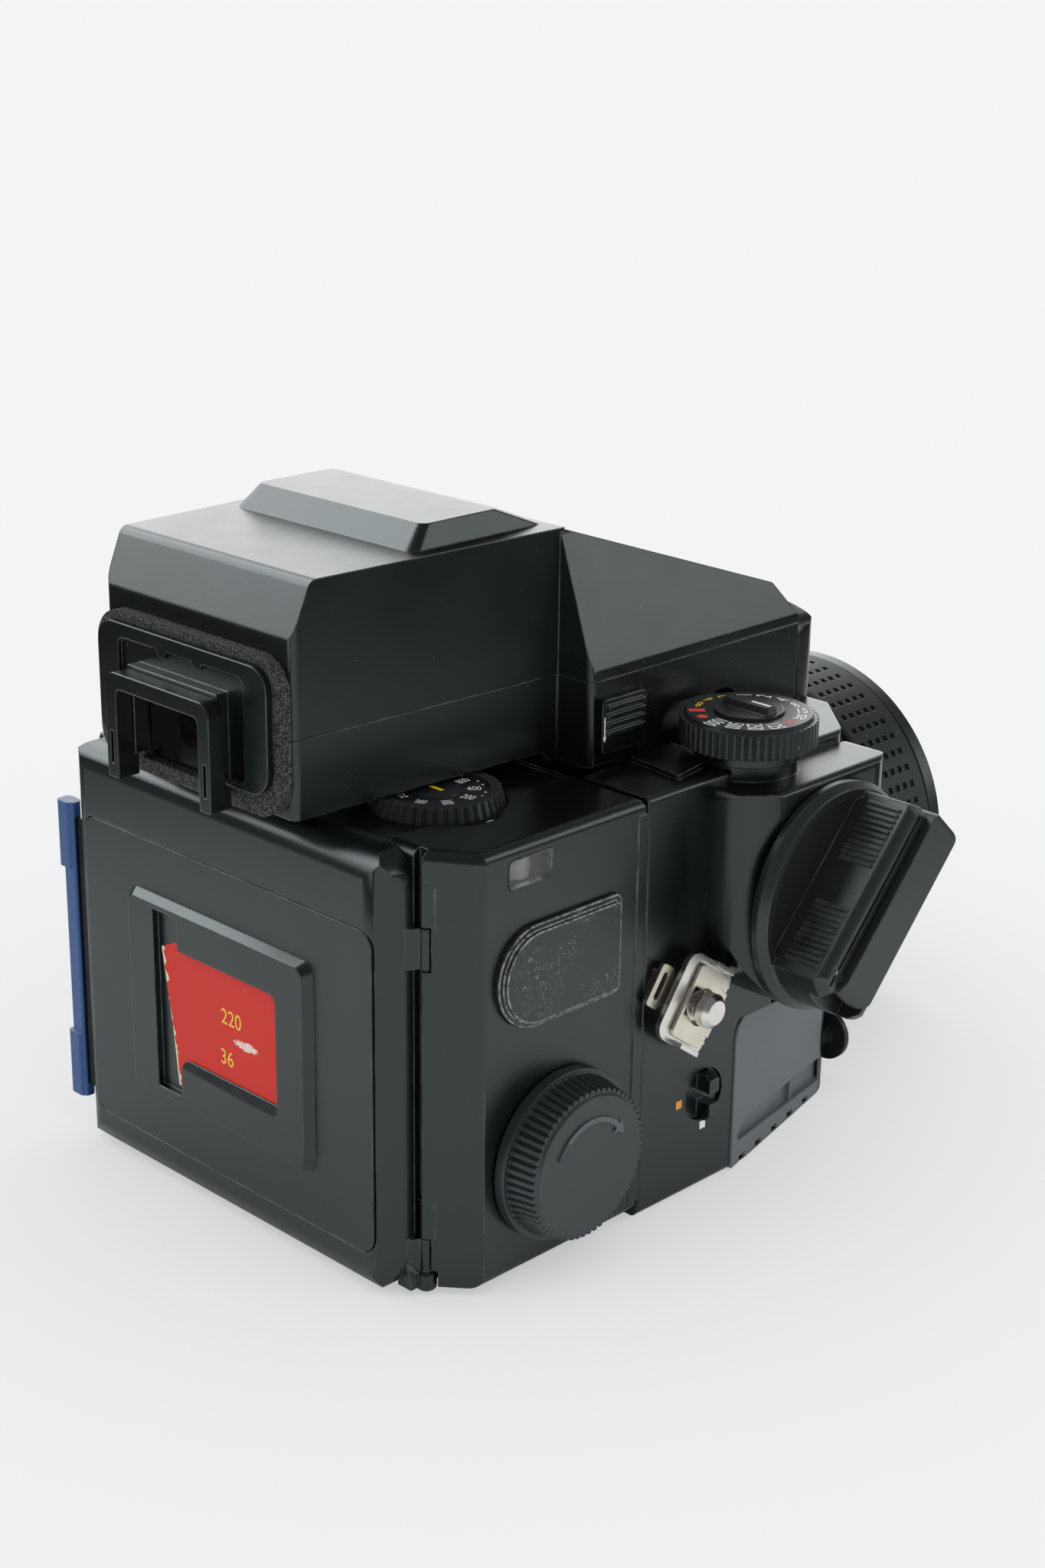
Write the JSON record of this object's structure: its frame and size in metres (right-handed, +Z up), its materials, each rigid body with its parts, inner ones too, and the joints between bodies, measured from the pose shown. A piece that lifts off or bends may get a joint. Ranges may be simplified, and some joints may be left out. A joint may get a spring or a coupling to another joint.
{
  "type": "medium format film camera",
  "caption": "Medium format single lens reflex film camera with prism finder, film magazine, side winding crank and lens.",
  "frame": {"origin": "centre of the tripod socket's mouth, in the base plane", "axes": "+Y along the lens axis to the front, +X to the viewer's right, +Z up"},
  "size_m": [0.1249, 0.1722, 0.1223],
  "materials": {
    "body_plastic": "fine matte grain, worn at the edges",
    "crank_plastic": "semi-gloss moulded",
    "grey_plastic": "matte mid grey",
    "dial_metal": "black satin",
    "rubber": "matte moulded rubber",
    "foam": "closed-cell foam",
    "steel": "polished nickel",
    "spring_steel": "bright sprung sheet",
    "blue_plastic": "moulded",
    "red_card": "printed card, scuffed",
    "clear_plastic": "clear moulded",
    "white_plastic": "white disc",
    "optical_glass": "coated",
    "mirror_glass": "front silvered",
    "film_base": "film",
    "spool_plastic": "moulded",
    "cast_alloy": "black die-cast",
    "shutter_cloth": "black rubberised cloth",
    "lens_metal": "black anodised",
    "battery_steel": "wrapped cell"
  },
  "bodies": {
    "camera": {"body_shell": "body_plastic", "side_grip_panel": "grey_plastic", "crank_housing": "body_plastic", "base_plate": "dial_metal", "tripod_bush": "steel", "battery": "battery_steel", "mirror_box": "cast_alloy", "focusing_screen": "optical_glass", "shutter_frame": "cast_alloy", "shutter_curtains": "shutter_cloth", "lens_mount_ring": "steel", "strap_studs": "steel", "clip_frame": "steel", "clip_spring_plate": "spring_steel", "magazine_shell": "body_plastic", "side_cap": "body_plastic", "counter_window": "clear_plastic", "counter_disc": "white_plastic", "insert_frame": "spool_plastic", "pressure_plate": "cast_alloy", "film": "film_base", "hinge_pin": "steel", "finder_lower_housing": "body_plastic", "finder_upper_housing": "body_plastic", "finder_front_cover": "body_plastic", "finder_prism": "optical_glass", "foam_gasket": "foam", "eyepiece_plate": "body_plastic", "eyecup_frame": "crank_plastic", "eyepiece_lens": "optical_glass", "lens_barrel": "lens_metal", "filter_ring": "lens_metal", "lens_elements": "optical_glass", "iris_blades": "cast_alloy"},
    "battery_cover": {"battery_cover": "body_plastic"},
    "reflex_mirror": {"reflex_mirror": "mirror_glass"},
    "multi_exposure_lever": {"multi_exposure_lever": "body_plastic"},
    "shutter_release": {"shutter_release_button": "dial_metal"},
    "lens_release": {"lens_release_button": "steel"},
    "shutter_dial": {"shutter_dial": "dial_metal"},
    "dial_lock_button": {"dial_lock_button": "dial_metal"},
    "crank_hub": {"crank_hub": "crank_plastic", "crank_arm_pin": "steel"},
    "crank_arm": {"crank_arm": "grey_plastic"},
    "crank_knob": {"crank_knob": "crank_plastic"},
    "take_up_spool": {"take_up_spool": "spool_plastic"},
    "supply_spool": {"supply_spool": "spool_plastic"},
    "wind_knob": {"wind_knob": "grey_plastic"},
    "film_speed_dial": {"film_speed_dial": "dial_metal"},
    "rear_cover": {"rear_cover": "body_plastic", "pocket_panel": "body_plastic", "memo_frame": "body_plastic", "film_card": "red_card"},
    "dark_slide": {"dark_slide_blade": "spring_steel", "dark_slide_handle": "blue_plastic"},
    "cover_latch": {"cover_latch": "body_plastic"},
    "finder_release": {"finder_release_slider": "body_plastic"},
    "focus_ring": {"focus_ring": "lens_metal", "focus_grip": "rubber"},
    "aperture_ring": {"aperture_ring": "lens_metal"}
  },
  "joints": [
    {"name": "battery_cover_slide", "type": "slide", "parent": "camera", "child": "battery_cover", "axis": [-1, 0, 0], "range_m": [0, 0.008]},
    {"name": "mirror_swing", "type": "hinge", "parent": "camera", "child": "reflex_mirror", "pos_m": [0, -0.0144, 0.0676], "axis": [1, 0, 0], "range_deg": [0, 45]},
    {"name": "multi_lever_turn", "type": "hinge", "parent": "camera", "child": "multi_exposure_lever", "pos_m": [0.0507, -0.0029, 0.0184], "axis": [1, 0, 0], "range_deg": [0, 90]},
    {"name": "shutter_release_press", "type": "slide", "parent": "camera", "child": "shutter_release", "axis": [0, -1, 0], "range_m": [0, 0.002], "stiffness_N_per_m": 250, "springref_m": -0.002},
    {"name": "lens_release_press", "type": "slide", "parent": "camera", "child": "lens_release", "axis": [0, -1, 0], "range_m": [0, 0.002], "stiffness_N_per_m": 250, "springref_m": -0.002},
    {"name": "shutter_dial_turn", "type": "hinge", "parent": "camera", "child": "shutter_dial", "pos_m": [0.0475, 0.009, 0.084], "axis": [0, 0, 1], "range_deg": [-150, 150]},
    {"name": "dial_lock_press", "type": "slide", "parent": "shutter_dial", "child": "dial_lock_button", "axis": [0, 0, -1], "range_m": [0, 0.0012], "stiffness_N_per_m": 250, "springref_m": -0.002},
    {"name": "crank_turn", "type": "hinge", "parent": "camera", "child": "crank_hub", "pos_m": [0.061, 0.0157, 0.0543], "axis": [1, 0, 0], "continuous": true},
    {"name": "crank_arm_fold", "type": "hinge", "parent": "crank_hub", "child": "crank_arm", "pos_m": [0.0735, 0.00694, 0.04333], "axis": [0, 0.7349, -0.6782], "range_deg": [0, 180]},
    {"name": "crank_knob_spin", "type": "hinge", "parent": "crank_arm", "child": "crank_knob", "pos_m": [0.068, 0.02423, 0.06207], "axis": [1, 0, 0], "continuous": true},
    {"name": "wind_knob_turn", "type": "hinge", "parent": "camera", "child": "wind_knob", "pos_m": [0.053, -0.0402, 0.021], "axis": [1, 0, 0], "continuous": true},
    {"name": "take_up_spool_spin", "type": "hinge", "parent": "camera", "child": "take_up_spool", "pos_m": [0, -0.0402, 0.021], "axis": [1, 0, 0], "continuous": true},
    {"name": "supply_spool_spin", "type": "hinge", "parent": "camera", "child": "supply_spool", "pos_m": [0, -0.0402, 0.056], "axis": [1, 0, 0], "continuous": true},
    {"name": "film_speed_dial_turn", "type": "hinge", "parent": "camera", "child": "film_speed_dial", "pos_m": [0.0258, -0.0443, 0.078], "axis": [0, 0, 1], "range_deg": [-150, 150]},
    {"name": "rear_cover_hinge", "type": "hinge", "parent": "camera", "child": "rear_cover", "pos_m": [0.0426, -0.0624, 0.038], "axis": [0, 0, 1], "range_deg": [0, 90]},
    {"name": "dark_slide_pull", "type": "slide", "parent": "rear_cover", "child": "dark_slide", "axis": [-1, 0, 0], "range_m": [0, 0.075]},
    {"name": "cover_latch_slide", "type": "slide", "parent": "camera", "child": "cover_latch", "axis": [0, 0, -1], "range_m": [0, 0.003], "stiffness_N_per_m": 60, "springref_m": -0.004},
    {"name": "finder_release_slide", "type": "slide", "parent": "camera", "child": "finder_release", "axis": [0, 0, -1], "range_m": [0, 0.0015], "stiffness_N_per_m": 120, "springref_m": -0.003},
    {"name": "focus_ring_turn", "type": "hinge", "parent": "camera", "child": "focus_ring", "pos_m": [0, 0.075, 0.037], "axis": [0, 1, 0], "range_deg": [-100, 100]},
    {"name": "aperture_ring_turn", "type": "hinge", "parent": "camera", "child": "aperture_ring", "pos_m": [0, 0.05, 0.037], "axis": [0, 1, 0], "range_deg": [-30, 30]}
  ],
  "couplings": [
    {"joint": "take_up_spool_spin", "follows": "wind_knob_turn", "ratio": 1}
  ]
}
